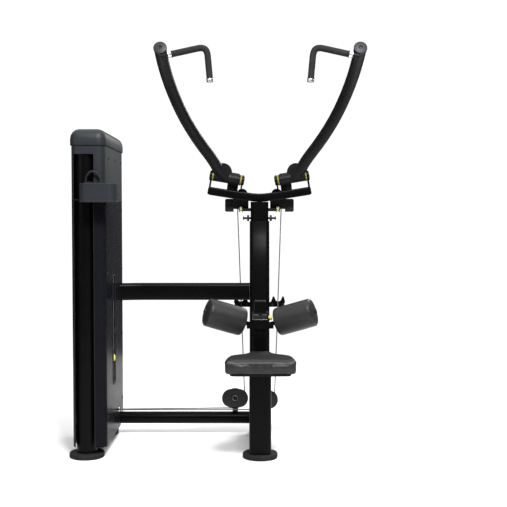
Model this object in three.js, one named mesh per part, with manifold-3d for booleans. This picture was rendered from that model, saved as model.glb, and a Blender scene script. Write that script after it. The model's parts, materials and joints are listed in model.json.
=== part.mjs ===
// Lat pulldown machine with two independent, diverging lever arms and a weight stack tower.
// Millimetres, +Z up, +X to the right of someone facing the machine, +Y to its back.
// The origin is the centre of the underside of the front foot, under the seat post.
import * as THREE from 'three';
import { mergeVertices } from 'three/addons/utils/BufferGeometryUtils.js';
import Module from 'manifold-3d';

const wasm = await Module();
wasm.setup();

// ---- driving dimensions -------------------------------------------------------------------------
const GAP = 0.3;                // clearance between pieces that touch
const DEG = Math.PI / 180;

const FOOT_RADIUS = 87.5;       // rubber levelling feet
const FOOT_HEIGHT = 25.5;
const COLUMN_FOOT_RADIUS = 58;

const COLUMN_WIDTH = 110;       // square tube of the seat post and the main column
const COLUMN_CORNER = 22;
const COLUMN_TOP = 1180;
const COLUMN_TOP_Y = 646;
const HEAD_WIDTH = 100;
const BASE_HEIGHT = 92;         // axis of the two floor beams
const BEAM_Y = 512;             // depth of the lower beam and of the tower's rear post
const LOWER_BEAM_RADIUS = 33;
const UPPER_BEAM_HEIGHT = 94;
const UPPER_BEAM_Z = 790;

const SEAT_TOP = 528;
const SEAT_THICKNESS = 65;
const SEAT_BOARD = 12;

const STEM_WIDTH = 60;          // post that carries the thigh pads
const STEM_Y = 96;
const STEM_TOP = 775;
const CARRIAGE_WIDTH = 84;
const CARRIAGE_BOTTOM = 642;
const CARRIAGE_TOP = 718;
const PAD_RADIUS = 73;
const PAD_LENGTH = 206;
const PAD_CENTRE = new THREE.Vector3(178, 60, 700);
const PAD_RISE = 17 * DEG;      // the outer ends of the thigh pads point up
const PAD_SWEEP = 16 * DEG;     // and forward
const PAD_AXLE = 11;
const POP_PIN_Z = 692;

const PIVOT = new THREE.Vector3(183, 650, 1423);  // centre of the right arm's hub
const PIVOT_TILT = 9.5 * DEG;   // the hinge axes rise outwards, so the arms spread as they come down
const HUB_RADIUS = 29;
const HUB_LENGTH = 152;
const SHAFT_RADIUS = 15;
const PLATE_OFFSET = 88;        // hub centre to the middle of each pivot plate
const PLATE_THICKNESS = 8;
const CROSSBAR_SIZE = 46;
const CROSSBAR_Y = 645;
const CROSSBAR_END = 282;
const CROSSBAR_MID_Z = 1312;
const CROSSBAR_END_Z = 1351;
const ARM_RADIUS = 31.75;
const ARM_ROUTE = [
  [183, 650, 1423], [228, 629, 1467], [262, 605, 1522], [340, 542, 1628], [403, 467, 1731],
  [448, 377, 1828], [479, 271, 1919], [493, 140, 1990], [495, 4, 2040],
];
const HANDLE_RADIUS = 15;

const TOWER_X = -871;           // tower posts
const TOWER_FRONT_Y = 16;
const TOWER_POST_RADIUS = 51;
const TOWER_POST_TOP = 1546;
const SHROUD = { left: -936, right: -765, front: -40, back: 605, corner: 42, wall: 4 };
const SHROUD_BOTTOM = 58;
const HOUSING_BOTTOM = 1290;    // the opaque upper housing starts here
const HOUSING_TOP = 1558;
const CAP_TOP = 1640;

const STACK_X = -850;           // centre of the weight stack
const STACK_Y = 237;
const STACK_BOTTOM = 190;
const PLATE_SIZE = [110, 280, 42];
const PLATE_PITCH = 42.5;
const FIXED_PLATES = 6;
const LIFTED_PLATES = 2;
const ROD_SPREAD = 95;          // guide rods to either side of the selector rod
const ROD_RADIUS = 10;
const SELECTOR_RADIUS = 9;
const ROD_TOP = 1330;
const SELECTOR_SLOT = { bottom: 330, top: 900 };
const TOP_PULLEY_Z = 1440;
const TOP_PULLEY_Y = 325;
const TOP_GROOVE = 88;          // cable centre line on the top pulley
const TOP_GROOVE_OFFSET = 7;    // the left cable's groove is the one nearer the user

const CABLE_RADIUS = 3;
const CABLE_SLOT = { front: 400, back: 458, bottom: 138, top: 168 };
const LOWER_PULLEYS = { left: [-135, 480], right: [28, 440] };
const BASE_PULLEY = [-812, 428.5, 185];
const BASE_GROOVE_OFFSET = 12.5;    // the left cable's groove is the rear one
const LOWER_PULLEY_Z = 205;
const LOWER_GROOVE = 53;
const BASE_GROOVE = 33;
const CABLE_LEAN = 12 * DEG;    // the pulleys lean back to face the head of the machine
const CABLE_TOP = [124, 690, 1252];

// ---- materials ----------------------------------------------------------------------------------
const paint = (color, roughness, metalness = 0) => (
  () => new THREE.MeshStandardMaterial({ color, roughness, metalness })
);
const blackPaint = paint(0x121212, 0.38, 0.3);
const armPaint = paint(0x1e1e1f, 0.45, 0.3);
const rubber = paint(0x262626, 0.8);
const vinyl = paint(0x2b2b2c, 0.62);
const plywood = paint(0x3a3027, 0.85);
const greyPlastic = paint(0x35383c, 0.5);
const smokedPlastic = paint(0x24242a, 0.25);
const steel = paint(0xb4b6b8, 0.25, 1);
const plateSteel = paint(0x1b1b1c, 0.5, 0.6);
const nylon = paint(0x1a1a1b, 0.5);
const yellowPlastic = paint(0xd8d43c, 0.45);

// ---- helpers ------------------------------------------------------------------------------------
const machine = new THREE.Group();

// Merges shared corners and turns the faces outwards.
function closed(geometry) {
  const bare = geometry.clone();
  bare.deleteAttribute('normal');
  bare.deleteAttribute('uv');
  const merged = mergeVertices(bare, 1e-4);
  const corners = merged.attributes.position;
  const index = merged.index.array;
  const [a, b, c] = [new THREE.Vector3(), new THREE.Vector3(), new THREE.Vector3()];
  let volume = 0;
  for (let i = 0; i < index.length; i += 3) {
    a.fromBufferAttribute(corners, index[i]);
    b.fromBufferAttribute(corners, index[i + 1]);
    c.fromBufferAttribute(corners, index[i + 2]);
    volume += a.dot(b.cross(c));
  }
  if (volume < 0) {
    for (let i = 0; i < index.length; i += 3) {
      [index[i], index[i + 1]] = [index[i + 1], index[i]];
    }
  }
  return merged;
}

function toSolid(geometry) {
  const merged = closed(geometry);
  return new wasm.Manifold(new wasm.Mesh({
    numProp: 3,
    vertProperties: new Float32Array(merged.attributes.position.array),
    triVerts: new Uint32Array(merged.index.array),
  }));
}

function fromSolid(solid) {
  const { vertProperties, triVerts } = solid.getMesh();
  const geometry = new THREE.BufferGeometry();
  geometry.setAttribute('position', new THREE.BufferAttribute(vertProperties, 3));
  geometry.setIndex(new THREE.BufferAttribute(triVerts, 1));
  return geometry;
}

const join = (...pieces) => fromSolid(pieces.map(toSolid).reduce((sum, next) => sum.add(next)));
const cut = (body, ...tools) => (
  fromSolid(tools.map(toSolid).reduce((rest, tool) => rest.subtract(tool), toSolid(body)))
);

function add(parent, name, geometry, material, position = [0, 0, 0]) {
  const mesh = new THREE.Mesh(closed(geometry), material());
  mesh.name = name;
  mesh.position.set(...position);
  parent.add(mesh);
}

const box = (x0, x1, y0, y1, z0, z1) => (
  new THREE.BoxGeometry(x1 - x0, y1 - y0, z1 - z0)
    .translate((x0 + x1) / 2, (y0 + y1) / 2, (z0 + z1) / 2)
);

// A cylinder from one level to another, along X, Y or Z.
function rod(radius, from, to, axis = 'z', sides = 24) {
  const cylinder = new THREE.CylinderGeometry(radius, radius, to - from, sides);
  cylinder.translate(0, (from + to) / 2, 0);
  if (axis === 'z') cylinder.rotateX(Math.PI / 2);
  if (axis === 'x') cylinder.rotateZ(-Math.PI / 2);
  return cylinder;
}

// A solid of revolution about Z from a profile of [radius, height] corners.
const turned = (profile, sides = 32) => (
  new THREE.LatheGeometry(profile.map(([r, z]) => new THREE.Vector2(r, z)), sides).rotateX(Math.PI / 2)
);

function roundedRectangle(width, height, corner) {
  const [x, y] = [width / 2 - corner, height / 2 - corner];
  const shape = new THREE.Shape();
  shape.absarc(x, -y, corner, -Math.PI / 2, 0);
  shape.absarc(x, y, corner, 0, Math.PI / 2);
  shape.absarc(-x, y, corner, Math.PI / 2, Math.PI);
  shape.absarc(-x, -y, corner, Math.PI, 1.5 * Math.PI);
  shape.closePath();
  return shape;
}

const extrude = (shape, from, to, curveSegments = 3) => (
  new THREE.ExtrudeGeometry(shape, { depth: to - from, bevelEnabled: false, curveSegments })
    .translate(0, 0, from)
);

// A path that steps exactly from point to point.
class StepPath extends THREE.Curve {
  constructor(points) {
    super();
    this.points = points.map((point) => new THREE.Vector3(...point));
  }

  getPoint(t, target = new THREE.Vector3()) {
    const along = t * (this.points.length - 1);
    const i = Math.min(Math.floor(along), this.points.length - 2);
    return target.lerpVectors(this.points[i], this.points[i + 1], along - i);
  }

  getUtoTmapping(u) {
    return u;
  }
}

function sweep(points, section, curveSegments = 3) {
  const extrudePath = new StepPath(points);
  return new THREE.ExtrudeGeometry(section, { steps: points.length - 1, curveSegments, extrudePath });
}

function circle(radius) {
  const shape = new THREE.Shape();
  shape.absarc(0, 0, radius, 0, 2 * Math.PI);
  return shape;
}

// Points on a smooth curve through the given ones.
function smooth(points, steps) {
  const curve = new THREE.CatmullRomCurve3(points.map((point) => new THREE.Vector3(...point)));
  return curve.getPoints(steps).map((point) => point.toArray());
}

// Points on an arc in the plane of two directions, from one angle to another.
function arc(centre, radius, u, v, from, to, steps = 6) {
  return Array.from({ length: steps + 1 }, (_, i) => {
    const angle = from + ((to - from) * i) / steps;
    return centre.map((value, k) => value + radius * (u[k] * Math.cos(angle) + v[k] * Math.sin(angle)));
  });
}

// ---- base frame ---------------------------------------------------------------------------------
function foot(radius) {
  const edge = 3;
  return turned([[0, 0], [radius - edge, 0], [radius, edge], [radius, FOOT_HEIGHT - edge],
    [radius - edge, FOOT_HEIGHT], [0, FOOT_HEIGHT]], 32);
}

const columnSection = roundedRectangle(COLUMN_WIDTH, COLUMN_WIDTH, COLUMN_CORNER);
const aboveFoot = FOOT_HEIGHT + GAP;

function columnRoute() {
  return smooth([[0, 505, aboveFoot - 10], [0, 511, 100], [0, 545, 500], [0, 581, 850], [0, 603, 1000],
    [0, 634, 1110], [0, COLUMN_TOP_Y, COLUMN_TOP + 10]], 14);
}

function addBaseFrame() {
  add(machine, 'front_foot', foot(FOOT_RADIUS), rubber);
  add(machine, 'column_foot', foot(COLUMN_FOOT_RADIUS), rubber, [0, 506, 0]);
  add(machine, 'tower_front_foot', foot(FOOT_RADIUS), rubber, [TOWER_X, TOWER_FRONT_Y, 0]);
  add(machine, 'tower_rear_foot', foot(FOOT_RADIUS), rubber, [TOWER_X, BEAM_Y, 0]);
  const postTop = SEAT_TOP - SEAT_THICKNESS - SEAT_BOARD - 2 * GAP;
  add(machine, 'seat_post', extrude(columnSection, aboveFoot, postTop), blackPaint);
  const ends = [[-100, aboveFoot], [COLUMN_TOP, COLUMN_TOP + 100]];
  const column = cut(
    sweep(columnRoute(), columnSection),
    ...ends.map(([low, high]) => box(-80, 80, 400, 800, low, high)),
  );
  add(machine, 'main_column', column, blackPaint);
  const spineFront = COLUMN_WIDTH / 2 + GAP;
  const spine = extrude(roundedRectangle(80, 80, 10), -451, -spineFront).rotateX(Math.PI / 2);
  add(machine, 'base_spine', spine, blackPaint, [0, 0, BASE_HEIGHT]);
}

function addBeams() {
  const columnSide = -COLUMN_WIDTH / 2 - GAP;
  const post = rod(TOWER_POST_RADIUS + GAP, 0, 1000, 'z', 36).translate(TOWER_X, BEAM_Y, 0);
  const lower = rod(LOWER_BEAM_RADIUS, TOWER_X + 20, columnSide, 'x', 28)
    .translate(0, BEAM_Y, BASE_HEIGHT);
  add(machine, 'lower_beam', cut(lower, post), blackPaint);
  const y = 551;
  const bend = smooth([[-640, y, 0], [-690, y - 5, 0], [-760, 530, 0], [TOWER_X + 20, BEAM_Y, 0]], 8);
  const route = [[columnSide, y, 0], ...bend].map(([px, py]) => [px, py, UPPER_BEAM_Z]);
  const upper = sweep(route, roundedRectangle(UPPER_BEAM_HEIGHT, 60, 18));
  add(machine, 'upper_beam', cut(upper, post), blackPaint);
}

// ---- seat and thigh pads ------------------------------------------------------------------------
function seatOutline(inset) {
  const shape = new THREE.Shape();
  const half = [[52, 45], [60, -20], [96, -62], [156, -112], [170, -190], [160, -262], [128, -272]];
  const points = half.map(([x, y], i) => new THREE.Vector2(x - inset, i === 0 ? y - inset : y + inset));
  shape.moveTo(-points[0].x, points[0].y);
  shape.lineTo(points[0].x, points[0].y);
  shape.splineThru(points.slice(1));
  shape.lineTo(-points.at(-1).x, points.at(-1).y);
  shape.splineThru(points.slice(0, -1).reverse().map((p) => new THREE.Vector2(-p.x, p.y)));
  return shape;
}

function addSeat() {
  const padBottom = SEAT_TOP - SEAT_THICKNESS;
  const bevel = 12;
  const pad = new THREE.ExtrudeGeometry(seatOutline(bevel), {
    depth: SEAT_THICKNESS - bevel,
    bevelThickness: bevel,
    bevelSize: bevel,
    bevelSegments: 2,
    curveSegments: 9,
  }).translate(0, 0, padBottom);
  add(machine, 'seat_pad', cut(pad, box(-300, 300, -400, 200, padBottom - 50, padBottom)), vinyl);
  const board = extrude(seatOutline(20), padBottom - GAP - SEAT_BOARD, padBottom - GAP, 9);
  add(machine, 'seat_board', board, plywood);
}

// Turns +Z into the right-hand pad's axis, which points outwards, up and forward.
const padAxis = new THREE.Vector3(
  Math.cos(PAD_RISE) * Math.cos(PAD_SWEEP),
  -Math.cos(PAD_RISE) * Math.sin(PAD_SWEEP),
  Math.sin(PAD_RISE),
);
const padTurn = new THREE.Quaternion().setFromUnitVectors(new THREE.Vector3(0, 0, 1), padAxis);
const alongPad = (geometry) => (
  geometry.applyQuaternion(padTurn).translate(PAD_CENTRE.x, PAD_CENTRE.y, PAD_CENTRE.z)
);
const mirrored = (geometry) => geometry.clone().scale(-1, 1, 1);

function addThighPads() {
  const side = STEM_WIDTH / 2;
  const stem = box(-side, side, STEM_Y - side, STEM_Y + side, 140, STEM_TOP);
  const weld = box(-25, 25, COLUMN_WIDTH / 2 + GAP, STEM_Y, 200, 430);
  const pinBore = rod(5.5, -5, 60, 'x', 16);
  const holes = Array.from({ length: 5 }, (_, i) => (
    pinBore.clone().translate(0, STEM_Y, POP_PIN_Z - 50 + 25 * i)
  ));
  add(machine, 'pad_stem', cut(join(stem, weld), ...holes), blackPaint);

  const half = CARRIAGE_WIDTH / 2;
  const sleeve = box(-half, half, STEM_Y - half, STEM_Y + half, CARRIAGE_BOTTOM, CARRIAGE_TOP);
  const bore = STEM_WIDTH / 2 + 0.6;
  const bored = box(-bore, bore, STEM_Y - bore, STEM_Y + bore, 0, 1000);
  const axle = alongPad(rod(PAD_AXLE, -155, PAD_LENGTH / 2 + 4));
  const collar = alongPad(rod(16, -PAD_LENGTH / 2 - 8, -PAD_LENGTH / 2 - 3));
  const pinHole = pinBore.clone().translate(0, STEM_Y, POP_PIN_Z);
  const saddle = box(-68, 68, STEM_Y - half - 4, STEM_Y + half, CARRIAGE_BOTTOM, CARRIAGE_BOTTOM + 24);
  const arms = join(sleeve, saddle, axle, collar, mirrored(axle), mirrored(collar));
  add(machine, 'thigh_carriage', cut(arms, bored, pinHole), blackPaint);

  // The pin's tip stops just short of the stem, so the carriage can slide with the pin at rest.
  const pin = join(rod(5, STEM_WIDTH / 2 + 1, 52, 'x', 16), rod(12, half + 4, half + 18, 'x', 20));
  add(machine, 'pop_pin', pin, yellowPlastic, [0, STEM_Y, POP_PIN_Z]);

  const end = PAD_LENGTH / 2;
  const round = 14;
  const roller = turned([[PAD_AXLE + 0.5, -end], [PAD_RADIUS - round, -end], [PAD_RADIUS - 4, 4 - end],
    [PAD_RADIUS, round - end], [PAD_RADIUS, end - round], [PAD_RADIUS - 4, end - 4],
    [PAD_RADIUS - round, end], [PAD_AXLE + 0.5, end], [PAD_AXLE + 0.5, -end]], 32);
  const rightPad = alongPad(roller);
  add(machine, 'thigh_pad_right', rightPad, vinyl);
  add(machine, 'thigh_pad_left', mirrored(rightPad), vinyl);
}

// ---- head: post, crossbar and pivot shafts ------------------------------------------------------
// Everything around a hub is drawn on the right-hand side, with the hinge axis along X.
const inHub = (geometry) => geometry.rotateY(-PIVOT_TILT).translate(PIVOT.x, PIVOT.y, PIVOT.z);

function pivotPlate(x) {
  const shape = new THREE.Shape();
  shape.moveTo(-22, -107);
  shape.lineTo(22, -107);
  shape.absarc(0, 0, 31, -0.35, Math.PI + 0.35);
  shape.closePath();
  shape.holes.push(new THREE.Path().absarc(0, 0, SHAFT_RADIUS + 0.8, 0, 2 * Math.PI, true));
  const plate = extrude(shape, -PLATE_THICKNESS / 2, PLATE_THICKNESS / 2, 7);
  return inHub(plate.rotateX(Math.PI / 2).rotateZ(Math.PI / 2).translate(x, 0, 0));
}

function addHead() {
  const stopZ = 1245;
  const column = box(-HEAD_WIDTH, HEAD_WIDTH, 500, 800, 0, COLUMN_TOP + GAP);
  const headSection = roundedRectangle(HEAD_WIDTH, HEAD_WIDTH, 18);
  const post = extrude(headSection, COLUMN_TOP - 5, CROSSBAR_MID_Z - CROSSBAR_SIZE / 2 - GAP)
    .translate(0, CROSSBAR_Y + 2, 0);
  const strut = rod(9, 40, 97, 'x', 16).translate(0, 676, stopZ);
  const boltHole = rod(6 + GAP, -80, 80, 'x', 16).translate(0, CROSSBAR_Y + 2, 1197);
  add(machine, 'head_post', cut(join(post, strut, mirrored(strut)), column, boltHole), blackPaint);

  const bolt = join(rod(6, -88, 88, 'x', 16), rod(17, 58, 70, 'x', 20), rod(17, -70, -58, 'x', 20));
  add(machine, 'cross_bolt', bolt, nylon, [0, CROSSBAR_Y + 2, 1197]);

  const route = smooth([[-CROSSBAR_END, CROSSBAR_Y, CROSSBAR_END_Z], [-95, CROSSBAR_Y, 1322],
    [0, CROSSBAR_Y, CROSSBAR_MID_Z], [95, CROSSBAR_Y, 1322], [CROSSBAR_END, CROSSBAR_Y, CROSSBAR_END_Z]], 12);
  const bar = sweep(route, roundedRectangle(CROSSBAR_SIZE, CROSSBAR_SIZE, 8), 3);
  const plates = [pivotPlate(PLATE_OFFSET), pivotPlate(-PLATE_OFFSET)];
  add(machine, 'crossbar', join(bar, ...plates, ...plates.map(mirrored)), blackPaint);

  const half = PLATE_OFFSET + 8;
  const shaft = inHub(rod(SHAFT_RADIUS, -half, half, 'x', 28));
  add(machine, 'pivot_shaft_right', shaft, steel);
  add(machine, 'pivot_shaft_left', mirrored(shaft), steel);
}

// ---- lever arms ---------------------------------------------------------------------------------
function leverPlate() {
  const shape = new THREE.Shape();
  shape.absarc(0, 0, 36, 0.4, Math.PI + 0.6);
  shape.lineTo(52, -72);
  shape.lineTo(54, -105);
  shape.lineTo(110, -105);
  shape.lineTo(110, -62);
  shape.closePath();
  return inHub(extrude(shape, -68, -8, 8).rotateX(Math.PI / 2).rotateZ(Math.PI / 2));
}

function leverArm() {
  const tube = sweep(smooth(ARM_ROUTE, 18), circle(ARM_RADIUS), 10);
  const hub = inHub(rod(HUB_RADIUS, -HUB_LENGTH / 2, HUB_LENGTH / 2, 'x', 28));
  const gusset = rod(50, 634, 672, 'y', 24).translate(205, 0, 1457);
  const bore = inHub(rod(SHAFT_RADIUS + GAP, -120, 120, 'x', 28));
  const tilted = inHub(box(-HUB_LENGTH / 2 - 40, HUB_LENGTH / 2 + 40, -60, 60, -60, -33));
  return cut(join(cut(tube, tilted), hub, gusset, leverPlate()), bore);
}

function counterweight() {
  const shape = roundedRectangle(134, 74, 10);
  const notch = box(62, 148, 660, 800, 1200, 1249);
  const block = extrude(shape, 697, 765).rotateX(-Math.PI / 2).translate(129, 0, 1270);
  return cut(block, notch);
}

function handle() {
  const bar = [[490, 6, 1997.8], [400, 6, 2017.4], [320, 6, 2034.8]];
  const elbow = [[292, 6, 2039], [272, 6, 2032], [262, 6, 2012]];
  const grip = [[258, 6, 1980], [249, 6, 1880]];
  const route = [...bar, ...smooth([bar.at(-1), ...elbow, grip[0]], 10).slice(1, -1), ...grip];
  return sweep(route, circle(HANDLE_RADIUS), 7);
}

function addArms() {
  const swivel = rod(HANDLE_RADIUS + 2 * GAP, -60, 25, 'x', 24).rotateY(12.3 * DEG).translate(466, 6, 2003);
  const arm = cut(leverArm(), swivel);
  const weight = counterweight();
  add(machine, 'arm_right', arm, armPaint);
  add(machine, 'arm_left', mirrored(arm), armPaint);
  add(machine, 'counterweight_right', weight, nylon);
  add(machine, 'counterweight_left', mirrored(weight), nylon);
  add(machine, 'handle_right', handle(), armPaint);
  add(machine, 'handle_left', mirrored(handle()), armPaint);
}

// ---- weight stack tower -------------------------------------------------------------------------
function addTowerFrame() {
  const front = rod(TOWER_POST_RADIUS, aboveFoot, TOWER_POST_TOP, 'z', 36);
  add(machine, 'tower_front_post', front, blackPaint, [TOWER_X, TOWER_FRONT_Y, 0]);
  add(machine, 'tower_rear_post', front, blackPaint, [TOWER_X, BEAM_Y, 0]);
  const y0 = TOWER_FRONT_Y + TOWER_POST_RADIUS + GAP;
  const y1 = BEAM_Y - TOWER_POST_RADIUS - GAP;
  const floor = box(-905, -795, y0, y1, 60, 100);
  const pedestal = box(-900, -800, STACK_Y - 120, STACK_Y + 120, 95, STACK_BOTTOM - GAP);
  const [pulleyX, pulleyY, pulleyZ] = BASE_PULLEY;
  const cheek = (y) => box(pulleyX - 18, pulleyX + 17, y - 3, y + 3, 90, pulleyZ + 18);
  const cheeks = join(cheek(pulleyY - 24.5), cheek(pulleyY + 24.5));
  const axle = rod(7, pulleyY - 27.5, pulleyY + 27.5, 'y', 16).translate(pulleyX, 0, pulleyZ);
  const wells = rodPlaces().map(([x, y]) => rod(ROD_RADIUS + GAP, 80, 400, 'z', 20).translate(x, y, 0));
  const selectorWell = rod(SELECTOR_RADIUS + 4, 95, 400).translate(STACK_X, STACK_Y, 0);
  const base = cut(join(floor, pedestal, cheeks, axle), ...wells, selectorWell);
  add(machine, 'tower_base_frame', base, blackPaint);

  const top = box(-905, -795, y0, y1, ROD_TOP - 6, ROD_TOP + 6);
  const railTop = TOP_PULLEY_Z + 40;
  const rails = [[-880, -874], [-830, -824]].map(([x0, x1]) => box(x0, x1, y0, y1, ROD_TOP, railTop));
  const ends = [[y0, y0 + 8], [y1 - 8, y1]].map(([a, b]) => box(-880, -824, a, b, ROD_TOP, railTop));
  const pin = rod(10, -878, -826, 'x', 20).translate(0, TOP_PULLEY_Y, TOP_PULLEY_Z);
  const slots = [box(-868, -832, 222, 252, 1300, 1345), box(-868, -832, 390, 440, 1300, 1345)];
  const rodSeat = rod(ROD_RADIUS + GAP, 1300, ROD_TOP + 2, 'z', 20);
  const seats = rodPlaces().map(([x, y]) => rodSeat.clone().translate(x, y, 0));
  add(machine, 'tower_top_frame', cut(join(top, ...rails, ...ends, pin), ...slots, ...seats), blackPaint);
  rodPlaces().forEach(([x, y], i) => {
    const guide = rod(ROD_RADIUS, 80 + GAP, ROD_TOP + 2 - GAP, 'z', 20);
    add(machine, ['guide_rod_front', 'guide_rod_rear'][i], guide, steel, [x, y, 0]);
  });
}

function rodPlaces() {
  return [[STACK_X, STACK_Y - ROD_SPREAD], [STACK_X, STACK_Y + ROD_SPREAD]];
}

function stackPlate() {
  const shape = roundedRectangle(PLATE_SIZE[0], PLATE_SIZE[1], 8);
  const holes = [[-ROD_SPREAD, ROD_RADIUS + 1.5], [0, SELECTOR_RADIUS + 1.5], [ROD_SPREAD, ROD_RADIUS + 1.5]];
  return cut(
    extrude(shape, 0, PLATE_SIZE[2], 2),
    ...holes.map(([y, radius]) => rod(radius, -10, PLATE_SIZE[2] + 10, 'z', 20).translate(0, y, 0)),
  );
}

function addStack() {
  const pinZ = STACK_BOTTOM + FIXED_PLATES * PLATE_PITCH + PLATE_SIZE[2] / 2;
  const pinRadius = 4.5;
  for (let i = 0; i < FIXED_PLATES + LIFTED_PLATES; i += 1) {
    const lifted = i >= FIXED_PLATES;
    const name = lifted ? `lifted_plate_${i - FIXED_PLATES + 1}` : `stack_plate_${i + 1}`;
    const z = STACK_BOTTOM + i * PLATE_PITCH;
    const bore = rod(pinRadius + 0.5, 0, 80, 'x', 16).translate(0, 0, pinZ - z);
    const plate = i === FIXED_PLATES ? cut(stackPlate(), bore) : stackPlate();
    add(machine, name, plate, plateSteel, [STACK_X, STACK_Y, z]);
  }
  const stackTop = STACK_BOTTOM + (FIXED_PLATES + LIFTED_PLATES) * PLATE_PITCH;
  const yoke = box(-30, 30, -30, 30, stackTop, stackTop + 40);
  const stem = rod(SELECTOR_RADIUS, 120, stackTop + 5, 'z', 20);
  add(machine, 'selector_rod', join(yoke, stem), steel, [STACK_X, STACK_Y, 0]);
  const knob = turned([[0, 66], [17, 66], [19, 70], [19, 84], [13, 90], [0, 90]], 24).rotateY(Math.PI / 2);
  const pin = join(rod(pinRadius, SELECTOR_RADIUS + GAP, 70, 'x', 16), knob);
  add(machine, 'selector_pin', pin, yellowPlastic, [STACK_X, STACK_Y, pinZ]);
  return stackTop + 40;
}

// The tower's outline in plan, drawn in from the outside of the covers.
function towerOutline(inset) {
  const { left, right, front, back, corner } = SHROUD;
  return { width: right - left - 2 * inset, depth: back - front - 2 * inset, corner: corner - inset };
}

function towerPrism(inset, from, to) {
  const { width, depth, corner } = towerOutline(inset);
  const x = (SHROUD.left + SHROUD.right) / 2;
  const y = (SHROUD.front + SHROUD.back) / 2;
  return extrude(roundedRectangle(width, depth, corner), from, to, 6).translate(x, y, 0);
}

function addCovers() {
  const { left, right, front, back, wall } = SHROUD;
  const cutHeight = [0, 2000];
  const shell = cut(towerPrism(0, SHROUD_BOTTOM, HOUSING_BOTTOM - GAP), towerPrism(wall, 0, 2000));
  const frontGap = box(TOWER_X - 49, TOWER_X + 50, front - 20, front + 60, ...cutHeight);
  const seam = box(TOWER_X + 49, TOWER_X + 51, back - 60, back + 20, ...cutHeight);
  const chamfer = new THREE.BoxGeometry(400, 160, 160).rotateX(Math.PI / 4)
    .translate(right, back + 10, SHROUD_BOTTOM - 10);
  const throughSide = (...sizes) => box(right - 20, right + 20, ...sizes);
  const openings = [
    throughSide(BEAM_Y - 38, BEAM_Y + 38, 50, 130),
    throughSide(BEAM_Y - 40, BEAM_Y + 58, UPPER_BEAM_Z - 52, UPPER_BEAM_Z + 52),
    throughSide(CABLE_SLOT.front, CABLE_SLOT.back, CABLE_SLOT.bottom, CABLE_SLOT.top),
    throughSide(STACK_Y - 35, STACK_Y + 35, SELECTOR_SLOT.bottom, SELECTOR_SLOT.top),
  ];
  const whole = cut(shell, frontGap, seam, chamfer);
  const userSide = box(TOWER_X + 50, right + 60, front - 60, back + 60, ...cutHeight);
  const outerSide = box(left - 60, TOWER_X + 50, front - 60, back + 60, ...cutHeight);
  add(machine, 'shroud_user_side', cut(whole, outerSide, ...openings), smokedPlastic);
  add(machine, 'shroud_outer_side', cut(whole, userSide), smokedPlastic);

  const housing = cut(towerPrism(0, HOUSING_BOTTOM, HOUSING_TOP), towerPrism(wall, 0, 2000));
  const window = box(TOWER_X - 49, TOWER_X + 50, front - 20, front + 20, 1200, 1515);
  add(machine, 'upper_housing', cut(housing, window), greyPlastic);
}

function addCap() {
  const { width, depth, corner } = towerOutline(-6);
  const bevel = 46;
  const crown = new THREE.ExtrudeGeometry(roundedRectangle(width, depth, corner), {
    depth: 30, bevelThickness: 50, bevelSize: bevel, bevelOffset: -bevel, bevelSegments: 4, curveSegments: 4,
  });
  const x = (SHROUD.left + SHROUD.right) / 2;
  const y = (SHROUD.front + SHROUD.back) / 2;
  crown.translate(x, y, CAP_TOP - 80);
  const below = box(-1100, -600, -200, 800, 1000, HOUSING_TOP + GAP);
  const { left, right, front, back } = SHROUD;
  const hollow = box(left + 20, right - 20, front + 30, back - 30, 1000, HOUSING_TOP + 30);
  add(machine, 'tower_cap', cut(crown, below, hollow), greyPlastic);
}

function addHolder() {
  const section = roundedRectangle(184, 104, 44);
  const inner = roundedRectangle(176, 96, 40);
  const band = cut(extrude(section, 0, 88, 6), extrude(inner, 4, 100, 6)).translate(-786, -94, 1277);
  add(machine, 'bottle_holder', band, greyPlastic);
  const loopCentre = [-822, -48, 1371];
  const legs = [[-858, -48, 1372], [-786, -48, 1372]];
  const bow = arc(loopCentre, 36, [1, 0, 0], [0, -0.3, 1.6], Math.PI, 0, 10);
  const hook = sweep(bow, circle(6), 3);
  const base = box(legs[0][0] - 8, legs[1][0] + 8, -56, SHROUD.front - GAP, 1366, 1378);
  add(machine, 'towel_hook', join(hook, base), greyPlastic);
}

// ---- pulleys and cables -------------------------------------------------------------------------
const leanBack = [0, Math.sin(CABLE_LEAN), Math.cos(CABLE_LEAN)];

function pulley(bore, groove, grooves = [0]) {
  const profile = [[bore, grooves[0] - 7]];
  grooves.forEach((z) => {
    profile.push([groove + 3, z - 7], [groove + 3, z - 6], [groove - CABLE_RADIUS - 2, z - 3.5]);
    profile.push([groove - CABLE_RADIUS - 2, z + 3.5], [groove + 3, z + 6], [groove + 3, z + 7]);
  });
  profile.push([bore, grooves.at(-1) + 7], [bore, grooves[0] - 7]);
  return turned(profile, 22);
}

// Turns a part drawn about Z so that its axis points forward and up, as the lower pulleys' do.
const faceForward = (geometry, [x, y]) => (
  geometry.rotateX(Math.PI / 2 - CABLE_LEAN).translate(x, y, LOWER_PULLEY_Z)
);

function pulleyBracket(side) {
  const [x, y] = LOWER_PULLEYS[side];
  const guard = roundedRectangle(144, 100, 49);
  const front = faceForward(extrude(guard, 11, 16, 6), [x, y]);
  const axle = faceForward(rod(8, -20, 22, 'z', 20), [x, y]);
  const back = faceForward(rod(30, -20, -11, 'z', 24), [x, y]);
  const arm = side === 'left'
    ? join(box(x - 15, x + 15, y + 12, 531, 192, 214), box(x - 15, x + 15, 505, 531, 100, 214))
    : box(x - 15, x + 15, y + 12, 462, 192, 214);
  const beam = rod(LOWER_BEAM_RADIUS + GAP, -400, 0, 'x', 28).translate(0, BEAM_Y, BASE_HEIGHT);
  return cut(join(front, axle, back, arm), beam);
}

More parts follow.
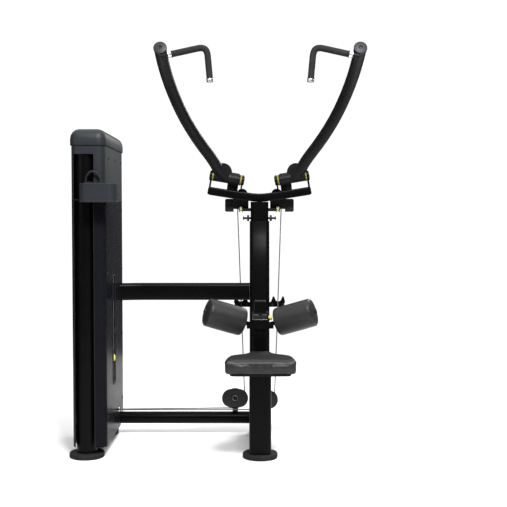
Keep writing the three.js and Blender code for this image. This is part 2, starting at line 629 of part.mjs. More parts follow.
function cable(side) {
  const [x, y] = LOWER_PULLEYS[side];
  const centre = [x, y, LOWER_PULLEY_Z];
  const sign = side === 'left' ? -1 : 1;
  const top = [sign * CABLE_TOP[0], CABLE_TOP[1], CABLE_TOP[2]];
  const underLower = arc(centre, LOWER_GROOVE, [1, 0, 0], leanBack, 0, -Math.PI / 2);
  const run = underLower.at(-1)[2];
  const depth = underLower.at(-1)[1];
  const grooveY = BASE_PULLEY[1] - sign * BASE_GROOVE_OFFSET;
  const baseCentre = [BASE_PULLEY[0], grooveY, run + BASE_GROOVE];
  const underBase = arc(baseCentre, BASE_GROOVE, [1, 0, 0], [0, 0, 1], -Math.PI / 2, -Math.PI);
  const straight = [[-200, depth, run], [-770, baseCentre[1], run]];
  const topCentre = [STACK_X - sign * TOP_GROOVE_OFFSET, TOP_PULLEY_Y, TOP_PULLEY_Z];
  const overTop = arc(topCentre, TOP_GROOVE, [0, 1, 0], [0, 0, 1], 0, Math.PI, 12);
  return sweep([top, ...underLower, ...straight, ...underBase, ...overTop], circle(CABLE_RADIUS), 4);
}

function addPulleysAndCables(stackTop) {
  [['left', -1], ['right', 1]].forEach(([side, sign]) => {
    const wheel = faceForward(pulley(8.5, LOWER_GROOVE), LOWER_PULLEYS[side]);
    add(machine, `lower_pulley_${side}`, wheel, nylon);
    add(machine, `pulley_bracket_${side}`, pulleyBracket(side), blackPaint);
    add(machine, `cable_${side}`, cable(side), steel);
    const x = STACK_X - sign * TOP_GROOVE_OFFSET;
    const drop = rod(CABLE_RADIUS, stackTop + GAP, TOP_PULLEY_Z - 1, 'z', 8);
    add(machine, `cable_drop_${side}`, drop, steel, [x, TOP_PULLEY_Y - TOP_GROOVE, 0]);
  });
  const basePair = [-BASE_GROOVE_OFFSET, BASE_GROOVE_OFFSET];
  const base = pulley(7.5, BASE_GROOVE, basePair).rotateX(Math.PI / 2);
  add(machine, 'tower_base_pulley', base, nylon, BASE_PULLEY);
  const topPair = [-TOP_GROOVE_OFFSET, TOP_GROOVE_OFFSET];
  const top = pulley(10.5, TOP_GROOVE, topPair).rotateY(Math.PI / 2);
  add(machine, 'tower_top_pulley', top, nylon, [STACK_X, TOP_PULLEY_Y, TOP_PULLEY_Z]);
}

addBaseFrame();
addBeams();
addSeat();
addThighPads();
addHead();
addArms();
addTowerFrame();
addCovers();
addCap();
addHolder();
addPulleysAndCables(addStack());

export default machine;
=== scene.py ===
"""Looks of the lat pulldown machine: materials, pads, grips, fasteners and trim round the CAD frame."""
import json
import math

import bmesh
import bpy
import numpy as np
from mathutils import Matrix, Vector


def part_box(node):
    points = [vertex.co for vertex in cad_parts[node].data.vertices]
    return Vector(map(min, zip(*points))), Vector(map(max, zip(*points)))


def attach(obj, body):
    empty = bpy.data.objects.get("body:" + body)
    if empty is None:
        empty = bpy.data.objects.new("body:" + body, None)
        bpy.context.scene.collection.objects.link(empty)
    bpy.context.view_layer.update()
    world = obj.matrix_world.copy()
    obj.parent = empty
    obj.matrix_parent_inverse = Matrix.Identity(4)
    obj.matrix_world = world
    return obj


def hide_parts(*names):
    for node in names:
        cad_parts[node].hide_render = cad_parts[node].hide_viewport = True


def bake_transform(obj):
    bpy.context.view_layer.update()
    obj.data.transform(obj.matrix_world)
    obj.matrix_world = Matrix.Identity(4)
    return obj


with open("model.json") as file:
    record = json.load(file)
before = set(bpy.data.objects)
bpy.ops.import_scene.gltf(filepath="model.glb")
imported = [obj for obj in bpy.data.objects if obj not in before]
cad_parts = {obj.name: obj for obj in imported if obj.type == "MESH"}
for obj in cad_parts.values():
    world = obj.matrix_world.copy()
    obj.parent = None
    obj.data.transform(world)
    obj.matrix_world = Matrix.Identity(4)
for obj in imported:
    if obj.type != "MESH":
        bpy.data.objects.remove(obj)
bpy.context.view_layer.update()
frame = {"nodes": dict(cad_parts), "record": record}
nodes = frame["nodes"]

SIDES = (("left", -1), ("right", 1))
PIVOT = Vector((0.183, 0.65, 1.423))      # right hinge; the left one is its mirror image
TILT = math.radians(9.5)
Z_AXIS = Vector((0, 0, 1))

LENS_MM = 67.34
SENSOR_MM = 36
CAMERA_PLACE = (-0.0336, -4.715, 1.218)
CAMERA_PITCH_DOWN = 0.0412
WORLD_TO_CAMERA = 1.05
WORLD_TO_OTHER_RAYS = 0.14
FLOOR_HALF = 3.4

PAD_RISE = math.radians(17)
PAD_SWEEP_BACK = math.radians(16)
PAD_HALF = 0.103                          # half of a thigh pad's length
SLEEVE_HALF = 0.042                       # half of the carriage sleeve's width
STEM_Y = 0.096
KNOB_X = 0.0465
CARRIAGE_FACE_Y = 0.0508
GUARD_SHIFT = 0.004
CABLE_RADIUS = 0.003


# ---- camera, light and floor --------------------------------------------------------------------
def add_camera():
    data = bpy.data.cameras.new("camera")
    data.lens = LENS_MM
    data.sensor_width = SENSOR_MM
    camera = bpy.data.objects.new("camera", data)
    camera.location = CAMERA_PLACE
    camera.rotation_euler = (math.pi / 2 - CAMERA_PITCH_DOWN, 0, 0)
    bpy.context.collection.objects.link(camera)
    bpy.context.scene.camera = camera


def add_light(name, location, target, size, power):
    data = bpy.data.lights.new(name, "AREA")
    data.shape = "RECTANGLE"
    data.size, data.size_y = size
    data.energy = power
    light = bpy.data.objects.new(name, data)
    light.location = location
    light.rotation_euler = (Vector(target) - Vector(location)).to_track_quat("-Z", "Y").to_euler()
    bpy.context.collection.objects.link(light)


def add_studio():
    world = bpy.data.worlds.new("studio")
    world.use_nodes = True
    background = world.node_tree.nodes["Background"]
    background.inputs["Color"].default_value = (1, 1, 1, 1)
    dim = world.node_tree.nodes.new("ShaderNodeMapRange")
    dim.inputs["To Min"].default_value = WORLD_TO_OTHER_RAYS
    dim.inputs["To Max"].default_value = WORLD_TO_CAMERA
    path = world.node_tree.nodes.new("ShaderNodeLightPath")
    world.node_tree.links.new(path.outputs["Is Camera Ray"], dim.inputs["Value"])
    world.node_tree.links.new(dim.outputs["Result"], background.inputs["Strength"])
    bpy.context.scene.world = world
    bpy.context.scene.view_settings.view_transform = "Standard"
    middle = (-0.3, 0.2, 1.0)
    add_light("ceiling", (0, 0, 4.6), (0, 0.001, 0), (9, 9), 480)
    add_light("key", (0.6, -3.2, 4.4), middle, (1.2, 0.9), 420)
    add_light("fill", (-3.6, -2.6, 2.4), middle, (1.2, 1.8), 30)
    add_light("back", (1.8, 3.8, 3.0), middle, (1.6, 1.2), 90)
    floor = mesh_object("floor", *grid_plane(FLOOR_HALF), material=floor_material())


def grid_plane(half):
    corners = [(-half, -half, 0), (half, -half, 0), (half, half, 0), (-half, half, 0)]
    return corners, [(0, 1, 2, 3)]


# ---- materials ----------------------------------------------------------------------------------
def new_material(name, color, roughness, metallic=0.0, **sockets):
    material = bpy.data.materials.new(name)
    material.use_nodes = True
    shader = material.node_tree.nodes["Principled BSDF"]
    shader.inputs["Base Color"].default_value = (*color, 1)
    shader.inputs["Roughness"].default_value = roughness
    shader.inputs["Metallic"].default_value = metallic
    for socket, value in sockets.items():
        shader.inputs[socket.replace("_", " ")].default_value = value
    return material


def add_node(material, kind, links=(), **values):
    """A new node with its values set and its inputs linked from (socket name, source socket)."""
    node = material.node_tree.nodes.new(kind)
    for name, value in values.items():
        if name in node.inputs:
            node.inputs[name].default_value = value
        else:
            setattr(node, name, value)
    for name, source in links:
        material.node_tree.links.new(source, node.inputs[name])
    return node


def object_space(material):
    return add_node(material, "ShaderNodeTexCoord").outputs["Object"]


def noise(material, scale, detail=4.0, roughness=0.55):
    links = [("Vector", object_space(material))]
    node = add_node(material, "ShaderNodeTexNoise", links, Scale=scale, Detail=detail, Roughness=roughness)
    return node.outputs["Fac"]


def ramp(material, source, low, high, start=0.0, end=1.0):
    node = add_node(material, "ShaderNodeMapRange", [("Value", source)])
    node.inputs["From Min"].default_value = start
    node.inputs["From Max"].default_value = end
    node.inputs["To Min"].default_value = low
    node.inputs["To Max"].default_value = high
    return node.outputs["Result"]


def mix_color(material, factor, dark, light):
    node = add_node(material, "ShaderNodeMix", data_type="RGBA")
    material.node_tree.links.new(factor, node.inputs["Factor"])
    node.inputs["A"].default_value = (*dark, 1)
    node.inputs["B"].default_value = (*light, 1)
    return node.outputs["Result"]


def plug(material, socket, source):
    shader = material.node_tree.nodes["Principled BSDF"]
    material.node_tree.links.new(source, shader.inputs[socket])


def bump(material, height, strength, distance):
    node = add_node(material, "ShaderNodeBump", [("Height", height)], Strength=strength, Distance=distance)
    plug(material, "Normal", node.outputs["Normal"])


def combine(material, a, b, operation="ADD"):
    node = add_node(material, "ShaderNodeMath", operation=operation)
    material.node_tree.links.new(a, node.inputs[0])
    material.node_tree.links.new(b, node.inputs[1])
    return node.outputs["Value"]


def scaled(color, factor):
    return tuple(channel * factor for channel in color)


def powder_coat(name, color, roughness, grain=900, depth=0.35, coat=0.06, shine=0.14):
    gloss = {"Coat_Weight": coat, "Coat_Roughness": 0.3, "Specular_IOR_Level": shine}
    material = new_material(name, color, roughness, 0.0, **gloss)
    patches = ramp(material, noise(material, 9, 3), 0, 1, 0.35, 0.7)
    plug(material, "Base Color", mix_color(material, patches, scaled(color, 0.85), scaled(color, 1.2)))
    plug(material, "Roughness", ramp(material, noise(material, 34, 5), roughness - 0.06, roughness + 0.08))
    bump(material, noise(material, grain, 3), depth, 0.0002)
    return material


def vinyl_material():
    color = (0.0125, 0.0125, 0.0128)
    material = new_material("grained_vinyl", color, 0.42, Specular_IOR_Level=0.22)
    cells = add_node(material, "ShaderNodeTexVoronoi", [("Vector", object_space(material))], Scale=520.0)
    cells.feature = "DISTANCE_TO_EDGE"
    creases = ramp(material, cells.outputs["Distance"], 0, 1, 0.0, 0.12)
    height = combine(material, creases, noise(material, 1500, 2), "MULTIPLY")
    bump(material, height, 0.35, 0.0004)
    worn = ramp(material, noise(material, 12, 4), 0, 1, 0.4, 0.75)
    plug(material, "Base Color", mix_color(material, worn, scaled(color, 0.85), scaled(color, 1.25)))
    plug(material, "Roughness", ramp(material, creases, 0.52, 0.4))
    return material


def plastic(name, color, roughness, grain=1200, depth=0.25):
    material = new_material(name, color, roughness, Specular_IOR_Level=0.2)
    bump(material, noise(material, grain, 2), depth, 0.0002)
    plug(material, "Roughness", ramp(material, noise(material, 60, 4), roughness - 0.05, roughness + 0.06))
    tone = ramp(material, noise(material, 6, 2), 0, 1, 0.3, 0.7)
    plug(material, "Base Color", mix_color(material, tone, scaled(color, 0.92), scaled(color, 1.08)))
    return material


def rubber_material(name="moulded_rubber", ribs=0.0):
    color = (0.01, 0.01, 0.0103)
    material = new_material(name, color, 0.78, Specular_IOR_Level=0.15)
    height = noise(material, 700, 4)
    if ribs:
        wave = add_node(material, "ShaderNodeTexWave", [("Vector", object_space(material))], Scale=ribs)
        height = combine(material, height, wave.outputs["Fac"])
    bump(material, height, 0.4, 0.0004)
    dust = ramp(material, noise(material, 16, 5), 0, 1, 0.45, 0.8)
    plug(material, "Base Color", mix_color(material, dust, color, scaled(color, 1.7)))
    return material


def metal(name, color, roughness, brush=(400, 6, 6)):
    material = new_material(name, color, roughness, 1.0)
    links = [("Vector", object_space(material))]
    stretch = add_node(material, "ShaderNodeMapping", links, Scale=brush)
    lines = add_node(material, "ShaderNodeTexNoise", [("Vector", stretch.outputs["Vector"])], Scale=6.0)
    plug(material, "Roughness", ramp(material, lines.outputs["Fac"], roughness - 0.08, roughness + 0.14))
    bump(material, lines.outputs["Fac"], 0.15, 0.0001)
    return material


def strand_material():
    """Wire rope: diagonal bands stand for its strands."""
    material = new_material("wire_rope", (0.1, 0.1, 0.105), 0.45, 1.0)
    links = [("Vector", object_space(material))]
    wave = add_node(material, "ShaderNodeTexWave", links, Scale=260.0, Distortion=1.0)
    wave.bands_direction = "DIAGONAL"
    bump(material, wave.outputs["Fac"], 0.8, 0.0006)
    tone = ramp(material, wave.outputs["Fac"], 0, 1)
    plug(material, "Base Color", mix_color(material, tone, (0.05, 0.05, 0.055), (0.2, 0.2, 0.21)))
    return material


def smoked_material():
    sockets = {"Alpha": 0.955, "Specular_IOR_Level": 0.015}
    material = new_material("smoked_plastic", (0.006, 0.006, 0.0085), 0.16, **sockets)
    plug(material, "Roughness", ramp(material, noise(material, 22, 4), 0.2, 0.32))
    bump(material, noise(material, 4, 2), 0.08, 0.002)
    return material


def stack_material():
    return powder_coat("stack_paint", (0.03, 0.031, 0.033), 0.5, grain=350, depth=0.6, coat=0.1)


def plywood_material():
    material = new_material("painted_plywood", (0.008, 0.007, 0.006), 0.8, Specular_IOR_Level=0.1)
    links = [("Vector", object_space(material))]
    layers = add_node(material, "ShaderNodeTexWave", links, Scale=150.0, Distortion=0.6)
    layers.bands_direction = "Z"
    tone = ramp(material, layers.outputs["Fac"], 0, 1)
    plug(material, "Base Color", mix_color(material, tone, (0.006, 0.0055, 0.005), (0.014, 0.011, 0.009)))
    bump(material, noise(material, 240, 5), 0.4, 0.0005)
    return material


def floor_material():
    material = new_material("pale_floor", (0.86, 0.86, 0.86), 0.6)
    plug(material, "Roughness", ramp(material, noise(material, 3, 3), 0.55, 0.68))
    return material


materials = {
    "frame_paint": powder_coat("satin_black_paint", (0.0011, 0.0011, 0.0012), 0.34, coat=0.02, shine=0.055),
    "arm_paint": powder_coat("textured_black_paint", (0.004, 0.004, 0.0042), 0.48, grain=1400, depth=0.3,
                             coat=0.02, shine=0.1),
    "foot_rubber": rubber_material(),
    "vinyl": vinyl_material(),
    "seat_board": plywood_material(),
    "nylon": plastic("black_nylon", (0.006, 0.006, 0.0063), 0.5),
    "steel": metal("drawn_steel", (0.55, 0.56, 0.57), 0.28),
    "counterweight": powder_coat("counterweight_coat", (0.008, 0.008, 0.0083), 0.6, grain=700, depth=0.7,
                                 coat=0.02),
    "stack_paint": stack_material(),
    "yellow_plastic": plastic("yellow_plastic", (0.62, 0.58, 0.05), 0.42),
    "smoked_plastic": smoked_material(),
    "grey_plastic": plastic("grey_plastic", (0.0105, 0.0122, 0.0148), 0.48),
}
wire_rope = strand_material()
aluminium = metal("brushed_aluminium", (0.62, 0.63, 0.64), 0.3, (6, 6, 300))
# light metal for thin strips: partly bare sheet edges, partly painted highlight lines along edges
bare_edge_and_painted_highlight = metal("bare_sheet_edge_painted_highlight", (0.2, 0.2, 0.205), 0.4)
pale_nylon = plastic("pale_nylon", (0.42, 0.41, 0.2), 0.5)
ring_yellow = plastic("muted_yellow", (0.2, 0.185, 0.03), 0.5)
guard_plastic = plastic("guard_plastic", (0.018, 0.018, 0.0185), 0.55)
grip_rubber = rubber_material("grip_rubber", ribs=180)


# ---- mesh helpers -------------------------------------------------------------------------------
def mesh_object(name, points, faces, material=None, smooth_below=35):
    mesh = bpy.data.meshes.new(name)
    mesh.from_pydata([tuple(point) for point in points], [], faces)
    mesh.validate()
    tidy = bmesh.new()
    tidy.from_mesh(mesh)
    bmesh.ops.remove_doubles(tidy, verts=tidy.verts, dist=1e-6)
    bmesh.ops.recalc_face_normals(tidy, faces=tidy.faces)
    tidy.to_mesh(mesh)
    tidy.free()
    soften(mesh, smooth_below)
    obj = bpy.data.objects.new(name, mesh)
    bpy.context.collection.objects.link(obj)
    if material:
        mesh.materials.append(material)
    return obj


def soften(mesh, smooth_below):
    mesh.polygons.foreach_set("use_smooth", [True] * len(mesh.polygons))
    mesh.set_sharp_from_angle(angle=math.radians(smooth_below))


def turned(name, profile, origin, direction, material, sides=40, smooth_below=35):
    """A solid of revolution from [radius, height] corners, its height along direction from origin."""
    turn = Z_AXIS.rotation_difference(Vector(direction).normalized()).to_matrix().to_4x4()
    place = Matrix.Translation(Vector(origin)) @ turn
    points = []
    for radius, height in profile:
        for k in range(sides):
            angle = 2 * math.pi * k / sides
            points.append(place @ Vector((radius * math.cos(angle), radius * math.sin(angle), height)))
    faces = []
    for i in range(len(profile) - 1):
        for k in range(sides):
            n = (k + 1) % sides
            faces.append((i * sides + k, i * sides + n, (i + 1) * sides + n, (i + 1) * sides + k))
    return mesh_object(name, points, faces, material, smooth_below)


def swept(name, path, radius, material, sides=24, closed=False):
    """A round tube along a list of points, with flat ends; radius may be a list, one for each point."""
    path = [Vector(point) for point in path]
    count = len(path)
    radii = radius if isinstance(radius, list) else [radius] * count
    normal = None
    points = []
    for i, point in enumerate(path):
        ahead = path[(i + 1) % count] if closed else path[min(i + 1, count - 1)]
        behind = path[i - 1] if closed or i else path[0]
        tangent = (ahead - behind).normalized()
        if normal is None:
            normal = tangent.orthogonal().normalized()
        normal = (normal - tangent * normal.dot(tangent)).normalized()
        side = tangent.cross(normal)
        for k in range(sides):
            angle = 2 * math.pi * k / sides
            points.append(point + radii[i] * (normal * math.cos(angle) + side * math.sin(angle)))
    faces = []
    for i in range(count if closed else count - 1):
        j = (i + 1) % count
        for k in range(sides):
            n = (k + 1) % sides
            faces.append((i * sides + k, i * sides + n, j * sides + n, j * sides + k))
    if not closed:
        faces.append(tuple(range(sides)))
        faces.append(tuple(range((count - 1) * sides, count * sides)))
    return mesh_object(name, points, faces, material)


def smooth_path(points, steps=10):
    """Catmull-Rom through the points."""
    points = [Vector(point) for point in points]
    ends = [points[0] * 2 - points[1], *points, points[-1] * 2 - points[-2]]
    path = []
    for a, b, c, d in zip(ends, ends[1:], ends[2:], ends[3:]):
        for k in range(steps):
            t = k / steps
            path.append(0.5 * (2 * b + (c - a) * t + (2 * a - 5 * b + 4 * c - d) * t**2
                               + (3 * b - a - 3 * c + d) * t**3))
    return [*path, points[-1]]


def fix(obj, body):
    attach(obj, body)
    return obj


def mirror(point, sign):
    return Vector((point[0] * sign, point[1], point[2]))


def hub_point(x, y, z, sign):
    """A point given in the hub's own directions, x along the hinge axis and away from the middle."""
    turn = Matrix.Rotation(-TILT, 4, "Y")
    return mirror(PIVOT + turn @ Vector((x, y, z)), sign)


def hub_direction(x, y, z, sign):
    return mirror(Matrix.Rotation(-TILT, 4, "Y") @ Vector((x, y, z)), sign)


# ---- fasteners ----------------------------------------------------------------------------------
def cap_screw(name, origin, direction, radius, body, material=None):
    """A button head screw with a washer and a hexagon socket."""
    material = material or materials["nylon"]
    r, h = radius, radius * 0.62
    washer = [(0, 0), (r * 1.35, 0), (r * 1.35, r * 0.12), (r * 1.3, r * 0.17), (r, r * 0.17)]
    head = [(r, r * 0.3), (r * 0.93, h * 0.72), (r * 0.72, h * 0.95), (r * 0.5, h), (r * 0.46, h * 0.98)]
    socket = [(r * 0.44, h * 0.4), (0, h * 0.36)]
    screw = turned(name, washer + head + socket, origin, direction, material, 24)
    return fix(screw, body)


def hex_nut(name, origin, direction, radius, body):
    """A hexagon nut on its washer, with the end of the bolt standing out of it."""
    r, h = radius, radius * 0.9
    ring = [(0, 0), (r * 1.3, 0), (r * 1.3, r * 0.2), (0, r * 0.2)]
    washer = turned(f"{name}_washer", ring, origin, direction, materials["steel"], 28)
    fix(washer, body)
    top = h + r * 0.12
    profile = [(0, r * 0.2), (r * 0.95, r * 0.2), (r, r * 0.32), (r, h), (r * 0.9, top), (0, top)]
    nut = turned(name, profile, origin, direction, materials["steel"], 6, 20)
    fix(nut, body)
    stud = [(0, h), (r * 0.5, h), (r * 0.5, h + r * 0.4), (r * 0.42, h + r * 0.5), (0, h + r * 0.5)]
    fix(turned(f"{name}_stud", stud, origin, direction, materials["steel"], 20), body)


# ---- CAD pieces that stay -----------------------------------------------------------------------
def finish_cad_nodes():
    slots = {row["node"]: row["material_slot"] for row in frame["record"]["subparts"]}
    for name, obj in nodes.items():
        material = wire_rope if name.startswith("cable") else materials[slots[name]]
        if name.startswith("pulley_bracket"):
            material = guard_plastic
        obj.data.materials.clear()
        obj.data.materials.append(material)
        if "custom_normal" in obj.data.attributes:
            obj.data.attributes.remove(obj.data.attributes["custom_normal"])
        obj.data.polygons.foreach_set("use_smooth", [True] * len(obj.data.polygons))
        weld = obj.modifiers.new("weld", "WELD")
        weld.merge_threshold = 0.00002
        if name.startswith("cable"):
            continue
        edge = obj.modifiers.new("edge", "BEVEL")
        edge.width = 0.0012
        edge.segments = 2
        edge.limit_method = "ANGLE"
        edge.angle_limit = math.radians(32)
        edge.harden_normals = True


# ---- pads ---------------------------------------------------------------------------------------
def puff(name, points, faces, voxel, pressure, cap):
    """A closed form remeshed and blown up as cloth, its motion capped, then one subdivision."""
    obj = mesh_object(name, points, faces, materials["vinyl"])
    remesh = obj.modifiers.new("remesh", "REMESH")
    remesh.mode = "VOXEL"
    remesh.voxel_size = voxel
    apply_modifiers(obj)
    start = positions(obj)
    cloth = obj.modifiers.new("cloth", "CLOTH")
    cloth.settings.quality = 4
    cloth.settings.mass = 0.4
    cloth.settings.tension_stiffness = 40
    cloth.settings.compression_stiffness = 40
    cloth.settings.bending_stiffness = 2
    cloth.settings.use_pressure = True
    cloth.settings.uniform_pressure_force = pressure
    cloth.settings.effector_weights.gravity = 0
    cloth.collision_settings.use_self_collision = False
    for number in range(1, 21):
        bpy.context.scene.frame_set(number)
    blown = evaluated_positions(obj)
    obj.modifiers.remove(cloth)
    bpy.context.scene.frame_set(1)
    motion = blown - start
    length = np.linalg.norm(motion, axis=1, keepdims=True)
    motion *= np.minimum(1, cap / np.maximum(length, 1e-9))
    obj.data.vertices.foreach_set("co", (start + motion).ravel())
    subdivide = obj.modifiers.new("subdivide", "SUBSURF")
    subdivide.levels = 1
    apply_modifiers(obj)
    return obj


def positions(obj):
    flat = np.empty(len(obj.data.vertices) * 3)
    obj.data.vertices.foreach_get("co", flat)
    return flat.reshape(-1, 3)


def evaluated_positions(obj):
    seen = obj.evaluated_get(bpy.context.evaluated_depsgraph_get())
    flat = np.empty(len(seen.data.vertices) * 3)
    seen.data.vertices.foreach_get("co", flat)
    return flat.reshape(-1, 3)


def apply_modifiers(obj):
    graph = bpy.context.evaluated_depsgraph_get()
    mesh = bpy.data.meshes.new_from_object(obj.evaluated_get(graph))
    obj.modifiers.clear()
    obj.data = mesh
    mesh.polygons.foreach_set("use_smooth", [True] * len(mesh.polygons))


def lofted(rings):
    """Points and faces of a closed skin through rings of equal length."""
    size = len(rings[0])
    points = [point for ring in rings for point in ring]
    faces = []
    for i in range(len(rings) - 1):
        for k in range(size):
            n = (k + 1) % size
            faces.append((i * size + k, i * size + n, (i + 1) * size + n, (i + 1) * size + k))
    faces.append(tuple(range(size)))
    faces.append(tuple(range((len(rings) - 1) * size, len(rings) * size)))
    return points, faces


def seat_outline(inset, steps=10):
    """The saddle outline in plan, drawn in by inset, anticlockwise from the front right corner."""
    half = [(152, -272), (169, -264), (174, -190), (162, -112), (110, -62), (76, -22), (66, 15), (62, 42),
            (48, 50)]
    right = [(x / 1000 - inset, y / 1000 + (inset if y < 0 else -inset)) for x, y in half]
    whole = [(x, y, 0) for x, y in right] + [(-x, y, 0) for x, y in reversed(right)]
    path = smooth_path(whole, steps)
    front = [path[-1].lerp(path[0], k / 30) for k in range(1, 30)]
    return path + front


def seat_ring(inset, z):
    return [(point.x, point.y, z) for point in seat_outline(inset)]


def add_seat():
    low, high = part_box("seat_pad")
    bottom, top = low.z, high.z
    section = [(0.005, 0.0006), (0.0015, 0.0025), (0, 0.007), (0, 0.016), (0, 0.046), (0.0012, 0.053),
               (0.0045, 0.0585), (0.0105, 0.062), (0.024, 0.0635), (0.042, 0.0645)]
    rings = [seat_ring(inset, bottom + height) for inset, height in section]
    pad = puff("seat_cushion", *lofted(rings), voxel=0.005, pressure=4, cap=0.006)
    flat = positions(pad)
    flat[:, 2] = np.clip(flat[:, 2], bottom + 0.0004, top + 0.002)
    pad.data.vertices.foreach_set("co", flat.ravel())
    fix(pad, "frame")
    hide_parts("seat_pad")
    for name, z, inset in (("seat_welt", top - 0.0165, 0.0022), ("seat_hem", bottom + 0.004, 0.004)):
        line = [hug(pad, Vector((x, y, z)), Vector((0, -0.11, z))) for x, y, _ in seat_ring(inset, z)]
        seam = swept(name, line, 0.0013, materials["vinyl"], 10, closed=True)
        fix(seam, "frame")
    stitches("seat_stitch", pad, seat_ring(0.002, top - 0.0205), Vector((0, -0.11, top - 0.0205)))
    for sign in (-1, 1):
        for y in (-0.215, -0.09):
            spot = (sign * 0.075, y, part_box("seat_board")[0].z)
            cap_screw(f"seat_screw_{'lr'[sign > 0]}_{'fb'[y > -0.1]}", spot, (0, 0, -1), 0.009, "frame")


def hug(obj, point, middle):
    """The place on obj's surface that lies on the way from outside point in to middle."""
    inward = (middle - point).normalized()
    found, place, _, _ = obj.ray_cast(point - inward * 0.03, inward)
    return place if found else point


def stitches(name, obj, ring, middle, pitch=0.006, thread=0.0006):
    """Short raised threads along a ring round obj."""
    points, faces = [], []
    line = [hug(obj, Vector(point), middle) for point in ring]
    for a, b in zip(line, line[1:]):
        count = max(1, round((b - a).length / pitch))
        for k in range(count):
            start, end = a.lerp(b, (k + 0.15) / count), a.lerp(b, (k + 0.8) / count)
            out = (start - middle).normalized()
            across = (end - start).cross(out).normalized()
            base = len(points)
            for place, r in ((start, 0.3), (start.lerp(end, 0.3), 1), (start.lerp(end, 0.7), 1), (end, 0.3)):
                for side, rise in ((-1, -0.4), (-0.6, 0.7), (0.6, 0.7), (1, -0.4)):
                    points.append(place + across * (side * r * thread) + out * (rise * r * thread))
            for i in range(3):
                row = base + 4 * i
                for j in range(4):
                    n = (j + 1) % 4
                    faces.append((row + j, row + n, row + 4 + n, row + 4 + j))
            faces += [(base, base + 1, base + 2, base + 3), (base + 12, base + 13, base + 14, base + 15)]
    return fix(mesh_object(name, points, faces, materials["vinyl"]), "frame")


def add_thigh_pads():
    level = math.cos(PAD_RISE)
    sideways, forward = level * math.cos(PAD_SWEEP_BACK), -level * math.sin(PAD_SWEEP_BACK)
    right_axis = Vector((sideways, forward, math.sin(PAD_RISE)))
    half = PAD_HALF
    for side, sign in SIDES:
        body = f"thigh_pad_{side}"
        axis = mirror(right_axis, sign)
        low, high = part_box(body)
        centre = (low + high) / 2
        place = Matrix.Translation(centre) @ Z_AXIS.rotation_difference(axis).to_matrix().to_4x4()
        end = [(0.016, -half + 0.001), (0.05, -half + 0.001), (0.0635, -half + 0.003), (0.069, -half + 0.008)]
        barrel = [(0.0718, -half + 0.017), (0.0724, -0.03)]
        outline = end + barrel + [(r, -z) for r, z in reversed(end + barrel)]
        rings = [[place @ Vector((r * math.cos(k * math.pi / 24), r * math.sin(k * math.pi / 24), z))
                  for k in range(48)] for r, z in outline]
        pad = puff(f"thigh_roll_{side}", *lofted(rings), voxel=0.005, pressure=4, cap=0.004)
        fix(pad, body)
        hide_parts(body)
        for end_name, at in (("inner", -1), ("outer", 1)):
            middle = centre + axis * (at * (half - 0.011))
            line = []
            for k in range(60):
                a = k * math.pi / 30
                out = place @ Vector((0.09 * math.cos(a), 0.09 * math.sin(a), at * (half - 0.011)))
                line.append(hug(pad, out, middle))
            fix(swept(f"roll_welt_{end_name}_{side}", line, 0.0012, materials["vinyl"], 10, closed=True),
                body)
            disc = [(0.0125, 0.0035), (0.0125, 0.001), (0.026, 0.0), (0.029, 0.0012), (0.0285, 0.0032),
                    (0.02, 0.0046), (0.0125, 0.0046)]
            fix(turned(f"roll_disc_{end_name}_{side}", disc, centre + axis * (at * (half - 0.004)), axis * at,
                       materials["nylon"], 36), body)
        back = place.inverted().to_3x3() @ Vector((0, 0.6, -1))
        around = math.atan2(back.y, back.x)
        seam = []
        for k in range(25):
            z = (k / 24 - 0.5) * 2 * (half - 0.012)
            out = place @ Vector((0.09 * math.cos(around), 0.09 * math.sin(around), z))
            seam.append(hug(pad, out, place @ Vector((0, 0, z))))
        fix(swept(f"roll_seam_{side}", seam, 0.0009, materials["vinyl"], 8), body)
        cap = [(0, -0.001), (0.0128, -0.001), (0.014, 0.0006), (0.014, 0.004), (0.0126, 0.0066),
               (0.009, 0.0082), (0.004, 0.0088), (0, 0.0088)]
        fix(turned(f"axle_cap_{side}", cap, centre + axis * (half + 0.003), axis, materials["nylon"], 32),
            "thigh_carriage")


